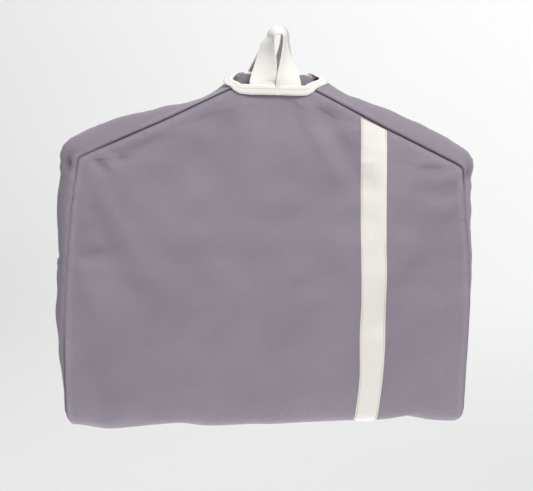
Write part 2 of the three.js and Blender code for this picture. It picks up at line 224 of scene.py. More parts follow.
def drape(points):
    """The set of the hanging bag: it leans to the left under its loops, its right shoulder hangs
    lower than its left, and its lower edge is uneven. The zip stays straight."""
    p = np.array(points, float)
    x, y, z = p[..., 0].copy(), p[..., 1].copy(), p[..., 2].copy()
    free = np.maximum(ease(np.abs(y), 0.020, 0.040), ease(np.abs(x), 0.03, 0.20))
    lean = curve(z, (-0.60, -0.0155), (-0.50, -0.0155), (-0.40, -0.0140), (-0.33, -0.0128), (-0.25, -0.0118),
                 (-0.19, -0.0092), (-0.09, -0.0065), (-0.03, -0.0065))
    p[..., 0] += lean * free
    p[..., 2] -= SHOULDER_TILT * x * ease(z, -0.44, -0.20)
    p[..., 2] += 0.003 * ease(z, -0.14, -0.09)
    lower = curve(x, (-0.31, -0.007), (-0.285, -0.009), (-0.245, -0.0145), (-0.19, -0.0125),
                  (-0.07, -0.0115), (0.02, -0.009), (0.11, -0.0065), (0.165, -0.0075), (0.225, -0.0085),
                  (0.265, -0.0135), (0.31, -0.012))
    # the inner panels end at the fold's pivot, so that the halves clear each other when the bag opens
    outside = np.maximum(ease(np.abs(y), 0.008, 0.018), ease(z, FOLD_Z - 0.0005, FOLD_Z - 0.004))
    p[..., 2] += lower * ease(z, -0.40, -0.56) * outside
    sunk = 0.004 * ease(np.abs(x), 0.04, 0.12) * (y > 0)
    sunk += 0.007 * bell(x + 0.105, 0.038) * (y > 0)
    p[..., 2] -= sunk * ease(z, -0.40, -0.22)
    return p


# ---- meshes ----


def added(name, data):
    """A new object with this data, in the scene."""
    made = bpy.data.objects.new(name, data)
    bpy.context.scene.collection.objects.link(made)
    return made


def make_object(name, points, faces, material, uvs=None, values=None, smooth_angle=50):
    mesh = bpy.data.meshes.new(name)
    mesh.from_pydata([tuple(p) for p in points], [], [tuple(int(i) for i in f) for f in faces])
    mesh.polygons.foreach_set("use_smooth", [True] * len(mesh.polygons))
    if uvs is not None:
        layer = mesh.uv_layers.new(name="cloth")
        corner = np.zeros(len(mesh.loops), int)
        mesh.loops.foreach_get("vertex_index", corner)
        layer.data.foreach_set("uv", np.asarray(uvs, np.float32)[corner].ravel())
    for key, value in (values or {}).items():
        attribute = mesh.attributes.new(key, "FLOAT", "POINT")
        attribute.data.foreach_set("value", np.asarray(value, np.float32).ravel())
    mesh.update()
    mesh.set_sharp_from_angle(angle=math.radians(smooth_angle))
    mesh.materials.append(material)
    return added(name, mesh)


def grid_normals(grid):
    """Normals of a grid of points, towards the side from which rows run down and columns left to right."""
    down = np.gradient(grid, axis=0)
    right = np.gradient(grid, axis=1)
    normal = np.cross(down, right)
    return normal / np.maximum(np.linalg.norm(normal, axis=-1, keepdims=True), 1e-12)


def sheet_object(name, grid, uv, thickness, material, values=None):
    """A closed sheet. grid[row, column] is its outer face, rows running down and columns to the
    right as seen from outside."""
    rows, columns = grid.shape[:2]
    inner = grid - grid_normals(grid) * thickness
    points = np.concatenate([grid.reshape(-1, 3), inner.reshape(-1, 3)])
    index = np.arange(rows * columns).reshape(rows, columns)
    a, b = index[:-1, :-1].ravel(), index[:-1, 1:].ravel()
    c, d = index[1:, 1:].ravel(), index[1:, :-1].ravel()
    back = rows * columns
    faces = [np.stack([a, d, c, b], 1), np.stack([a, b, c, d], 1) + back]
    rim = np.concatenate([index[0, :-1], index[:-1, -1], index[-1, :0:-1], index[:0:-1, 0]])
    after = np.roll(rim, -1)
    faces.append(np.stack([rim, after, after + back, rim + back], 1))
    both = {}
    for key, value in (values or {}).items():
        both[key] = np.tile(np.broadcast_to(value, (rows, columns)).ravel(), 2)
    uvs = np.tile(uv.reshape(-1, 2), (2, 1))
    return make_object(name, points, np.concatenate(faces), material, uvs, both)


def flipped(grid, uv, values):
    """The same sheet seen from its other side."""
    return grid[:, ::-1], uv[:, ::-1], {key: value[:, ::-1] for key, value in values.items()}


def arc_lengths(points):
    steps = np.linalg.norm(np.diff(points, axis=0), axis=1)
    return np.concatenate([[0], np.cumsum(steps)])


def grid_uv(grid):
    """Lengths in metres along the middle row and the middle column, so a weave keeps its scale."""
    across = arc_lengths(grid[grid.shape[0] // 2])
    down = arc_lengths(grid[:, grid.shape[1] // 2])
    return np.stack(np.meshgrid(across, down), -1)


def stitch_rows(name, lines, material, pitch=0.0034, length=0.0023, width=0.00055):
    """Short raised stitches along each line, a pair of arrays of points and of surface normals."""
    points, faces = [], []
    ring = [(1, 0), (0, 1), (-1, 0), (0, -1)]
    for line, normals in lines:
        distance = arc_lengths(line)
        for at in np.arange(pitch / 2, distance[-1] - pitch / 2, pitch):
            centre = np.array([np.interp(at, distance, line[:, k]) for k in range(3)])
            ahead = np.array([np.interp(at + pitch / 4, distance, line[:, k]) for k in range(3)])
            up = np.array([np.interp(at, distance, normals[:, k]) for k in range(3)])
            run = ahead - centre
            run /= np.linalg.norm(run)
            side = np.cross(run, up)
            base = len(points)
            points.append(centre - run * length / 2 - up * width * 0.5)
            for part in (-0.25, 0.25):
                for s, h in ring:
                    points.append(centre + run * length * part + side * width * s + up * width * 0.8 * h)
            points.append(centre + run * length / 2 - up * width * 0.5)
            for k in range(4):
                n = (k + 1) % 4
                faces.append((base, base + 1 + n, base + 1 + k))
                faces.append((base + 1 + k, base + 1 + n, base + 5 + n, base + 5 + k))
                faces.append((base + 9, base + 5 + k, base + 5 + n))
    return make_object(name, points, faces, material, smooth_angle=180)


# ---- materials ----


class Nodes:
    """A short way to write a node tree."""

    def __init__(self, name):
        self.material = bpy.data.materials.new(name)
        self.material.use_nodes = True
        self.tree = self.material.node_tree
        self.shader = next(n for n in self.tree.nodes if n.type == "BSDF_PRINCIPLED")

    def add(self, kind, settings=None, **inputs):
        node = self.tree.nodes.new(kind)
        for key, value in (settings or {}).items():
            setattr(node, key, value)
        for key, value in inputs.items():
            self.put(node, key, value)
        return node

    def put(self, node, key, value):
        socket = node.inputs[int(key[1:])] if key[0] == "i" and key[1:].isdigit() else node.inputs[key]
        if isinstance(value, bpy.types.NodeSocket):
            self.tree.links.new(value, socket)
        else:
            socket.default_value = value

    def math(self, operation, a, b=0.0, clamp=False):
        node = self.add("ShaderNodeMath", {"operation": operation, "use_clamp": clamp}, i0=a, i1=b)
        return node.outputs[0]

    def noise(self, vector, scale, detail=3.0, roughness=0.5):
        inputs = {"Vector": vector, "Scale": scale, "Detail": detail, "Roughness": roughness}
        return self.add("ShaderNodeTexNoise", None, **inputs).outputs[0]

    def stretched(self, vector, along, across):
        """A vector scaled by along in U and across in V, for thread-like noise."""
        node = self.add("ShaderNodeVectorMath", {"operation": "MULTIPLY"}, i0=vector, i1=(along, across, 1.0))
        return node.outputs[0]

    def remap(self, value, low, high, to_low, to_high):
        node = self.add("ShaderNodeMapRange", None, i0=value, i1=low, i2=high, i3=to_low, i4=to_high)
        return node.outputs[0]

    def mix(self, factor, a, b, blend="MIX"):
        node = self.add("ShaderNodeMix", {"data_type": "RGBA", "blend_type": blend}, i0=factor, i6=a, i7=b)
        return node.outputs[2]

    def bump(self, height, strength, distance, normal=None):
        inputs = {"Height": height, "Strength": strength, "Distance": distance}
        if normal is not None:
            inputs["Normal"] = normal
        return self.add("ShaderNodeBump", None, **inputs).outputs[0]

    def attribute(self, name):
        return self.add("ShaderNodeAttribute", {"attribute_name": name}).outputs["Fac"]

    def finish(self, colour, roughness, normal=None, sheen=0.0, metallic=0.0, specular=0.3):
        self.put(self.shader, "Base Color", colour)
        self.put(self.shader, "Roughness", roughness)
        self.shader.inputs["Metallic"].default_value = metallic
        self.shader.inputs["Specular IOR Level"].default_value = specular
        self.shader.inputs["Sheen Weight"].default_value = sheen
        self.shader.inputs["Sheen Roughness"].default_value = 0.6
        if normal is not None:
            self.put(self.shader, "Normal", normal)
        return self.material


def shade(colour, factor):
    return (*(c * factor for c in colour), 1.0)


def weave_height(n, uv, pitch):
    """Over-and-under threads of a plain weave, in U and V."""
    parts = n.add("ShaderNodeSeparateXYZ", None, i0=uv)
    u = n.math("MULTIPLY", parts.outputs[0], math.pi / pitch)
    v = n.math("MULTIPLY", parts.outputs[1], math.pi / pitch)
    su, sv = n.math("SINE", u), n.math("SINE", v)
    over = n.math("GREATER_THAN", n.math("MULTIPLY", su, sv), 0.0)
    warp = n.math("ABSOLUTE", su)
    weft = n.math("ABSOLUTE", sv)
    under = n.math("SUBTRACT", 1.0, over)
    return n.math("ADD", n.math("MULTIPLY", over, warp), n.math("MULTIPLY", under, weft))


def canvas_material(name, colour):
    """Cotton canvas: plain weave, uneven thick threads, a soft bloom, paler worn seams with painted
    highlights, painted shade in the seams and painted shade between the threads.
    """
    n = Nodes(name)
    uv = n.add("ShaderNodeUVMap", {"uv_map": "cloth"}).outputs[0]
    weave = weave_height(n, uv, 0.00075)
    warp = n.noise(n.stretched(uv, 1100, 60), 1.0)
    weft = n.noise(n.stretched(uv, 60, 1100), 1.0)
    threads = n.math("ADD", warp, weft)
    blotch = n.noise(uv, 8.0, 3.0, 0.55)
    base = n.mix(n.remap(threads, 0.75, 1.25, 0, 1), shade(colour, 0.95), shade(colour, 1.05))
    clouded = n.mix(1.0, base, (0.885, 0.88, 0.89, 1), "MULTIPLY")
    base = n.mix(n.remap(blotch, 0.3, 0.7, 0, 1), base, clouded)
    # painted shade between the threads: the low places of the weave are darker
    base = n.mix(n.math("MULTIPLY", n.remap(weave, 0.0, 0.6, 1, 0), 0.30), base, shade(colour, 0.62))
    # paler where the attribute read here is set: worn cloth, and painted highlights beside the seams and
    # along the crease
    worn_and_highlit = n.math("MULTIPLY", n.attribute("wear_and_highlight"), n.remap(n.noise(uv, 160.0), 0.35, 0.65, 0.25, 0.8))
    base = n.mix(worn_and_highlit, base, shade(colour, 1.35))
    # painted shade: nearly black where the seam attribute is set, in the seams' grooves and dents
    base = n.mix(n.attribute("seam"), base, shade(colour, 0.10))
    normal = n.bump(weave, 0.35, 0.00025)
    normal = n.bump(threads, 0.25, 0.0004, normal)
    return n.finish(base, 0.93, normal, sheen=0.22)


def webbing_material(name, colour):
    """Cotton webbing: warp ribs along its length, crossed by the weft, with faint soiling, painted shade
    between the ribs and a warm painted shade where the seam attribute is set.
    """
    n = Nodes(name)
    uv = n.add("ShaderNodeUVMap", {"uv_map": "cloth"}).outputs[0]
    parts = n.add("ShaderNodeSeparateXYZ", None, i0=uv)
    rib = n.math("ABSOLUTE", n.math("SINE", n.math("MULTIPLY", parts.outputs[0], math.pi / 0.0013)))
    pick = n.math("ABSOLUTE", n.math("SINE", n.math("MULTIPLY", parts.outputs[1], math.pi / 0.0017)))
    height = n.math("ADD", rib, n.math("MULTIPLY", pick, 0.6))
    threads = n.noise(n.stretched(uv, 700, 40), 1.0)
    soil = n.noise(uv, 30.0, 4.0, 0.6)
    base = n.mix(n.remap(threads, 0.3, 0.7, 0, 1), shade(colour, 0.97), shade(colour, 1.02))
    # painted shade in the grooves between the ribs
    base = n.mix(n.math("MULTIPLY", n.remap(height, 0.1, 0.7, 1, 0), 0.12), base, shade(colour, 0.74))
    soiled = (colour[0], colour[1] * 0.96, colour[2] * 0.88)
    base = n.mix(n.remap(soil, 0.5, 0.75, 0, 0.15), base, shade(soiled, 0.93))
    # warm painted shade where the seam attribute is set
    base = n.mix(n.math("MULTIPLY", n.attribute("seam"), 0.5), base, shade((0.62, 0.5, 0.4), 1.0))
    normal = n.bump(height, 0.4, 0.0004)
    normal = n.bump(threads, 0.2, 0.0003, normal)
    return n.finish(base, 0.88, normal, sheen=0.12)


def plain_material(name, colour, roughness, metallic=0.0, scratch=0.0, specular=0.5):
    """Thread, coil and metal: a smooth base with fine scuffs or fibres."""
    n = Nodes(name)
    position = n.add("ShaderNodeTexCoord").outputs["Object"]
    fine = n.noise(position, 900.0, 3.0)
    base = n.mix(n.remap(fine, 0.35, 0.65, 0, 1), shade(colour, 0.90), shade(colour, 1.06))
    rough = n.remap(fine, 0.3, 0.7, roughness * 0.8, min(1.0, roughness * 1.25))
    normal = n.bump(fine, 0.2, scratch) if scratch else None
    return n.finish(base, rough, normal, metallic=metallic, specular=specular)


CANVAS_COLOUR = (0.284, 0.248, 0.296)
WEBBING_COLOUR = (0.83, 0.795, 0.762)
canvas = canvas_material("canvas", CANVAS_COLOUR)
webbing = webbing_material("webbing", WEBBING_COLOUR)
tape = canvas_material("zip_tape", (0.20, 0.172, 0.21))
thread = plain_material("cream_thread", (0.50, 0.43, 0.35), 0.8, scratch=0.0001, specular=0.3)
dark_thread = plain_material("canvas_thread", (0.20, 0.17, 0.21), 0.8, scratch=0.0001, specular=0.3)
coil_plastic = plain_material("coil", (0.19, 0.165, 0.20), 0.35, scratch=0.00003)
nickel = plain_material("nickel", (0.74, 0.74, 0.76), 0.22, metallic=1.0, scratch=0.00002)


def place(piece, body, slot, *nodes):
    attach(piece, body)
    if nodes:
        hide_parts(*nodes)
    return piece


def place_over_fold(piece, slot, *nodes):
    """Bakes the piece's placement into its mesh and hides the given parts."""
    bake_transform(piece)
    if nodes:
        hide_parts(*nodes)


# ---- the outer cloth: front panel, turn and rear panel in one length ----

ARC_ROWS = 14
EDGE_STEPS = np.array([0, 0.0008, 0.0017, 0.0027, 0.0039, 0.0055, 0.008, 0.012, 0.017])
MIDDLE_COLUMNS = 68


def painted_seam_shade(x, z):
    """How dark the painted shade in the seams is. The shoulder seams lie deep and dark, but for the left
    one's end. The side seams are half open, and lower down the left one is darker.
    """
    shoulder = lerp(0.4, 1.0, ease(x, -0.268, -0.225))
    return lerp(0.12, shoulder, ease(z, -0.24, -0.185)) + 0.5 * ease(z, -0.42, -0.47) * (x < 0)


SIM_FRAMES = 36
SIM_ROWS = 84
SIM_EXCESS = -0.012  # a shrink below 0, so the simulated cloth grows by this share of its size
SIM_LIMIT = 0.008  # no point moves further than this


def simulated(grid, pinned, excess):
    """The grid after it has hung under its own weight as cloth, held where pinned is true."""
    rows, columns = grid.shape[:2]
    index = np.arange(rows * columns).reshape(rows, columns)
    faces = np.stack([index[:-1, :-1], index[1:, :-1], index[1:, 1:], index[:-1, 1:]], -1).reshape(-1, 4)
    mesh = bpy.data.meshes.new("hanging")
    mesh.from_pydata([tuple(p) for p in grid.reshape(-1, 3)], [], faces.tolist())
    cloth = added("hanging", mesh)
    held = cloth.vertex_groups.new(name="held")
    held.add(index[pinned].tolist(), 1.0, "REPLACE")
    settings = cloth.modifiers.new("cloth", "CLOTH").settings
    settings.vertex_group_mass = "held"
    settings.quality = 8
    settings.mass = 0.06
    settings.air_damping = 4
    settings.tension_stiffness = settings.compression_stiffness = 30
    settings.shear_stiffness = 12
    settings.bending_stiffness = 1.2
    settings.bending_damping = 1
    settings.shrink_min = excess
    scene = bpy.context.scene
    for number in range(1, SIM_FRAMES + 1):
        scene.frame_set(number)
    hung = cloth.evaluated_get(bpy.context.evaluated_depsgraph_get()).to_mesh()
    found = np.zeros(rows * columns * 3)
    hung.vertices.foreach_get("co", found)
    scene.frame_set(1)
    bpy.data.objects.remove(cloth)
    return found.reshape(rows, columns, 3)


def spread(values, rows, columns, shape):
    """Values on a coarse grid, at these rows and columns, brought smoothly onto the whole grid."""
    whole = np.stack([np.interp(np.arange(shape[1]), columns, line) for line in values])
    whole = np.stack([np.interp(np.arange(shape[0]), rows, line) for line in whole.T]).T
    for axis in (0, 1):
        whole = np.apply_along_axis(smoothed, axis, whole, 7)
    return whole


def seam_depth(z):
    return SEAM_DEPTH * lerp(0.25, 1.0, ease(z, -0.24, -0.185))


# Each fold is a line on the cloth: (height, start, end, width), start and end in X and Z.
# Those of the front lie below the neck, under the shoulders and above the crease.
FRONT_FOLDS = [
    (0.0006, (0.000, -0.094), (0.002, -0.150), 0.0022),
    (0.0034, (0.034, -0.098), (0.118, -0.240), 0.013),
    (-0.0030, (0.062, -0.100), (0.160, -0.250), 0.012),
    (-0.0034, (-0.070, -0.116), (-0.262, -0.206), 0.010),
    (0.0040, (-0.060, -0.136), (-0.255, -0.232), 0.018),
    (0.0016, (-0.272, -0.196), (-0.190, -0.330), 0.012),
    (-0.0018, (-0.276, -0.215), (-0.225, -0.350), 0.010),
    (0.0017, (0.272, -0.196), (0.200, -0.350), 0.013),
    (-0.0016, (0.250, -0.192), (0.160, -0.320), 0.012),
    (0.0013, (-0.284, -0.300), (-0.255, -0.420), 0.008),
    (-0.0013, (0.284, -0.340), (0.250, -0.480), 0.010),
    (0.0012, (-0.240, -0.520), (0.020, -0.512), 0.012),
    (0.0010, (0.000, -0.530), (0.250, -0.520), 0.010),
]
# Short tight folds start in the seams, at the shoulders and half way down the left side.
GATHERS = [
    (-0.0039, (-0.290, -0.337), (-0.232, -0.322), 0.0060),
    (0.0027, (-0.292, -0.352), (-0.220, -0.346), 0.0070),
    (-0.0024, (-0.290, -0.303), (-0.248, -0.287), 0.0060),
    (-0.0018, (-0.292, -0.268), (-0.255, -0.262), 0.0060),
    (-0.0042, (-0.264, -0.184), (-0.236, -0.218), 0.0052),
    (0.0030, (-0.252, -0.180), (-0.222, -0.214), 0.0050),
    (-0.0030, (-0.236, -0.172), (-0.212, -0.200), 0.0048),
    (0.0062, (0.284, -0.198), (0.222, -0.224), 0.0080),
    (-0.0032, (0.284, -0.222), (0.238, -0.246), 0.0070),
    (-0.0030, (0.262, -0.186), (0.208, -0.203), 0.0050),
    (0.0022, (0.284, -0.232), (0.250, -0.272), 0.0060),
]
REAR_FOLDS = [
    (0.0018, (0.268, -0.196), (0.170, -0.340), 0.013),
    (0.0016, (-0.268, -0.196), (-0.180, -0.310), 0.012),
    (-0.0014, (-0.050, -0.110), (-0.170, -0.250), 0.012),
    (-0.0012, (0.050, -0.110), (0.120, -0.230), 0.012),
]


class OuterCloth:
    """The cloth from the neck, round the crease and up to the rear end, as a grid of points."""

    def __init__(self):
        arc = np.linspace(0, np.pi, ARC_ROWS + 2)[1:-1]
        count = len(ROWS)
        self.turn = np.concatenate([np.zeros(count), arc, np.full(count, np.pi)])
        self.level = np.concatenate([ROWS, np.full(ARC_ROWS, FOLD_Z), ROWS[::-1]])
        self.half = half_width(self.level) - FOLD_TUCK * np.sin(self.turn) ** 2
        nx, _ = outline_normal(np.minimum(self.level, NECK_Z - 0.003))
        offsets = EDGE_STEPS[None, :] / nx[:, None]
        t = np.linspace(0, 1, MIDDLE_COLUMNS + 2)[1:-1]
        inner_edge = self.half - offsets[:, -1]
        middle = lerp(-inner_edge[:, None], inner_edge[:, None], t[None, :])
        edge = self.half[:, None] - offsets
        self.x = np.concatenate([-edge, middle, edge[:, ::-1]], axis=1)
        self.margin = (self.half[:, None] - np.abs(self.x)) * nx[:, None]
        self.s = self.lengths()
        self.grid = drape(self.hung(self.shaped()))

    def lengths(self):
        depth = outer_depth(self.level)
        y = -depth * np.cos(self.turn)
        z = self.level - depth * np.sin(self.turn)
        return arc_lengths(np.stack([y, z], 1))

    def shaped(self):
        x, level = self.x, np.broadcast_to(self.level[:, None], self.x.shape)
        depth = outer_depth(level) + crown(x / self.half[:, None], level) + self.relief(x, level)
        turn = self.turn[:, None]
        return np.stack([x, -depth * np.cos(turn), level - depth * np.sin(turn)], -1)

    def hung(self, grid):
        """The grid with the sag of hanging cloth."""
        edge = len(EDGE_STEPS)
        rows = np.unique(np.linspace(0, grid.shape[0] - 1, SIM_ROWS).astype(int))
        last = grid.shape[1] - 1
        columns = np.concatenate([[0], np.arange(edge - 1, last - edge + 2, 2), [last]])
        coarse = grid[rows][:, columns]
        pinned = np.zeros(coarse.shape[:2], bool)
        pinned[[0, -1]] = True
        pinned[:, [0, 1, -2, -1]] = True
        moved = simulated(coarse, pinned, SIM_EXCESS) - coarse
        size = np.linalg.norm(moved, axis=-1, keepdims=True)
        moved *= SIM_LIMIT * np.tanh(size / SIM_LIMIT) / np.maximum(size, 1e-9)
        parts = [spread(moved[..., k], rows, columns, grid.shape[:2]) for k in range(3)]
        return grid + np.stack(parts, -1)

    def relief(self, x, level):
        """How far the cloth stands out from its plain shape."""
        s = np.broadcast_to(self.s[:, None], x.shape)
        rear = self.turn[:, None] > np.pi / 2
        open_cloth = ease(self.margin, 0, 0.022) * ease(NECK_Z - level, 0.010, 0.040)
        swell = 0.0027 * waves(x, s, 0.13, 11) + 0.0013 * waves(x, s, 0.06, 12)
        swell *= lerp(0.25, 1.0, ease(level, FOLD_Z + 0.02, FOLD_Z + 0.17))
        hanging = np.where(rear, folds(x, level, REAR_FOLDS), folds(x, level, FRONT_FOLDS))
        seam_run = np.where(x < 0, s, s + 3.0)
        pucker = 0.0007 * waves(seam_run, 0 * s, 0.017, 13) * np.exp(-self.margin / 0.008)
        groove = -seam_depth(level) * seam_curl(self.margin)
        gathers = np.where(rear, 0, folds(x, level, GATHERS, 0.4)) * ease(self.margin, 0.001, 0.006)
        return (swell + hanging) * open_cloth + gathers + pucker + groove

    def sample(self, x, row):
        """Points of the draped cloth at flat widths x and fractional rows."""
        low = np.clip(np.floor(row).astype(int), 0, len(self.level) - 2)
        part = (row - low)[..., None]
        return lerp(self.at(low, x), self.at(low + 1, x), part)

    def at(self, row, x):
        found = np.empty(x.shape + (3,))
        for i in np.ndindex(x.shape):
            r = row[i]
            found[i] = [np.interp(x[i], self.x[r], self.grid[r, :, k]) for k in range(3)]
        return found

    def build(self):
        s = np.broadcast_to(self.s[:, None], self.x.shape)
        uv = np.stack([self.x, s], -1)
        # painted shade: a dark line along the seams' grooves
        seam = np.clip(1.5 - self.margin / SEAM_LINE, 0, 1) * painted_seam_shade(self.x, self.level[:, None])
        # paler worn cloth beside the seams with a painted highlight line, and a painted highlight where the
        # cloth turns under at the crease
        crease_rim_highlight = 0.38 * ease(self.level[:, None], FOLD_Z + 0.030, FOLD_Z - 0.004)
        wear_and_highlight = bell(self.margin - 0.006, 0.003) * 0.55 + crease_rim_highlight
        piece = sheet_object("outer_cloth", self.grid, uv, CANVAS, canvas, {"wear_and_highlight": wear_and_highlight, "seam": seam})
        place_over_fold(piece, "canvas", "front_panel", "rear_panel", "fold_wrap")


outer = OuterCloth()
outer.build()


# ---- gussets ----

GUSSET_COLUMNS = 22
NOTCH = 0.015  # how far the opening cuts down into the middle of a gusset


def outline(side):
    """The seam line from the neck to the crease: x, height and outward normal."""
    nx, nz = outline_normal(np.minimum(ROWS, NECK_Z - 0.003))
    return np.stack([side * half_width(ROWS), ROWS, side * nx, nz], 1)


def rear_outline():
    """The rear half's seam line, from the crease at the left, over the end, to the crease at the right."""
    x = np.linspace(-NECK_HALF, NECK_HALF, 24)[1:-1]
    end = np.stack([x, np.full_like(x, NECK_Z), 0 * x, 0 * x + 1], 1)
    path = np.concatenate([outline(-1)[::-1], end, outline(1)])
    for k in (2, 3):
        path[:, k] = smoothed(path[:, k], 9)
    path[:, 2:] /= np.linalg.norm(path[:, 2:], axis=1, keepdims=True)
    return path


def gusset_grid(path, facing, seed):
    """Points of a gusset: rows follow the path, columns run from the outer seam to the inner one.
    facing is -1 for the front half and 1 for the rear half."""
    along = 0.5 - 0.5 * np.cos(np.pi * np.linspace(0, 1, GUSSET_COLUMNS))
    run = arc_lengths(path[:, :2])
    r, a = np.meshgrid(run, along, indexing="ij")
    if facing < 0:
        r = r + NOTCH * np.sin(np.pi * a) * (1 - ease(r, 0, 0.070))
    x, z, nx, nz = (np.interp(r, run, path[:, k]) for k in range(4))
    side = np.abs(x) > 0.2
    near_corner = bell(z - SHOULDER_Z + 0.004, 0.030) * side
    swell = 0.0012 * waves(r, a * 0.05, 0.10, seed) + 0.0007 * waves(r, a * 0.05, 0.045, seed + 1)
    buckle = 0.0010 * waves(r, a * 0.02, 0.022, seed + 2) * near_corner
    pinch = bell(z - SHOULDER_Z + 0.010, 0.0085) * bell(a - 0.12, 0.11) * side
    ridge = bell(z - SHOULDER_Z - 0.001, 0.0050) * bell(a - 0.30, 0.16) * side
    dent = 0.004 * ridge - 0.015 * pinch
    fold = 0.0022 * bell(z + 0.352 - 0.02 * a, 0.004) * (x < 0)
    fold -= 0.0020 * bell(z + 0.345 - 0.02 * a, 0.004) * (x < 0)
    full = bulge(x, z, facing)
    loose = np.clip(full / 0.012, 0, 1) * np.sin(np.pi * a)
    boxy = lerp(0.75, 0.56, ease(z, -0.24, -0.18))
    out = full * (4 * a * (1 - a)) ** boxy + (swell + buckle + dent + fold) * loose
    outer_edge, inner_edge = outer_depth(z), inner_depth(1.0, z)
    span = outer_edge - inner_edge
    from_outer = np.hypot(out, span * a)
    from_inner = np.hypot(out, span * (1 - a))
    depth = lerp(outer_edge, inner_edge, a) - seam_depth(z) * seam_curl(from_outer)
    depth += 0.5 * SEAM_DEPTH * seam_curl(from_inner)
    depth += 0.0006 * waves(r, 0 * a, 0.017, seed + 3) * np.exp(-from_outer / 0.008)
    grid = np.stack([x + nx * out, facing * depth, z + nz * out + a * inner_rise(z, facing)], -1)
    # painted shade along the seams' grooves, and in the pinched dent at the shoulder corner
    seam = np.clip(1.5 - np.minimum(from_outer, from_inner) / SEAM_LINE, 0, 1) * painted_seam_shade(x, z)
    seam = np.maximum(seam, 0.5 * pinch)
    # paler worn cloth with a painted highlight line beside the outer seam, and paler about the shoulder
    # corner
    wear_and_highlight = 0.5 * bell(from_outer - 0.005, 0.003) + 0.35 * near_corner * np.sin(np.pi * a)
    uv = np.stack([a * (span.max() + 0.02), r], -1)
    return drape(grid), uv, {"wear_and_highlight": wear_and_highlight, "seam": seam}


def gusset(name, body, path, facing, seed, mirrored, nodes):
    grid, uv, values = gusset_grid(path, facing, seed)
    if mirrored:
        grid, uv, values = flipped(grid, uv, values)
    piece = sheet_object(name, grid, uv, CANVAS, canvas, values)
    return place(piece, body, "canvas", *nodes)


gusset("front_gusset_right", "front_half", outline(1), -1, 21, False,
       ["front_shoulder_gusset_right", "front_side_gusset_right"])
gusset("front_gusset_left", "front_half", outline(-1), -1, 31, True,
       ["front_shoulder_gusset_left", "front_side_gusset_left"])
gusset("rear_gusset", "rear_half", rear_outline(), 1, 41, True,
       ["rear_shoulder_gusset_right", "rear_side_gusset_right", "rear_shoulder_gusset_left",
        "rear_side_gusset_left", "rear_end_gusset"])


# ---- inner panels and the zip between them ----

INNER_COLUMNS = 34
HEM = 0.010


def inner_grid(side, facing, seed):
    """Points of an inner panel, columns running from the zip to the side seam."""
    half = half_width(ROWS)[:, None]
    first = np.array([0, 0.0006, 0.002, 0.004, 0.008, HEM, HEM + 0.0012])
    t = np.linspace(0, 1, INNER_COLUMNS)[None, :]
    rest = lerp(ZIP_SLOT + HEM + 0.003, half, np.sin(t * np.pi / 2))
    x = np.concatenate([np.broadcast_to(ZIP_SLOT + first, (len(ROWS), len(first))), rest], 1)
    z = np.broadcast_to(np.maximum(ROWS, FOLD_Z + 0.0012)[:, None], x.shape)
    margin = half - x
    loose = ease(x, 0.03, 0.09) * ease(margin, 0, 0.03) * ease(z, FOLD_Z + 0.015, FOLD_Z + 0.09)
    loose = loose * ease(NECK_Z - z, 0.0, 0.03)
    sag = 0.0016 * waves(x, z, 0.15, seed) + 0.0008 * waves(x, z, 0.06, seed + 1)
    hem = 0.0006 * ease(x, ZIP_SLOT + HEM + 0.0012, ZIP_SLOT + HEM)
    depth = inner_depth(x / half, z) + sag * loose - hem + 0.5 * SEAM_DEPTH * seam_curl(margin)
    grid = np.stack([side * x, facing * depth, z + inner_rise(z, facing)], -1)
    # painted shade at the side seam; paler along the zip's hem
    values = {"seam": np.clip(1 - margin / 0.0022, 0, 1), "wear_and_highlight": 0.6 * bell(x - ZIP_SLOT, 0.0015)}
    return drape(grid), np.stack([x, -z], -1), values


def zip_line(x, facing, lift, top):
    """A line down the zip at x, lift above the inner panels' face."""
    z = np.concatenate([[top], ROWS[ROWS < top - 0.002]])
    depth = np.maximum(inner_depth(0.0, z) - lift, 0.0003)
    return np.stack([np.full_like(z, x), facing * depth, z], 1)


def zip_tape(half, side, facing, top):
    sign = 1 if side == "right" else -1
    across = (0.0020, 0.0045, 0.0075, 0.0115, 0.0160)
    columns = [zip_line(sign * x, facing, -0.0020, top) for x in across]
    grid = np.stack(columns, 1)
    if sign * facing < 0:
        grid = grid[:, ::-1]
    name = f"zip_tape_{half}_{side}_woven"
    piece = sheet_object(name, grid, grid_uv(grid), TAPE, tape, {"wear_and_highlight": 0, "seam": 0})
    return place(piece, f"{half}_half", "zip_tape", f"zip_tape_{half}_{side}")


COIL_PITCH = 0.0015
COIL_POINTS = 7
COIL_SIDES = 4


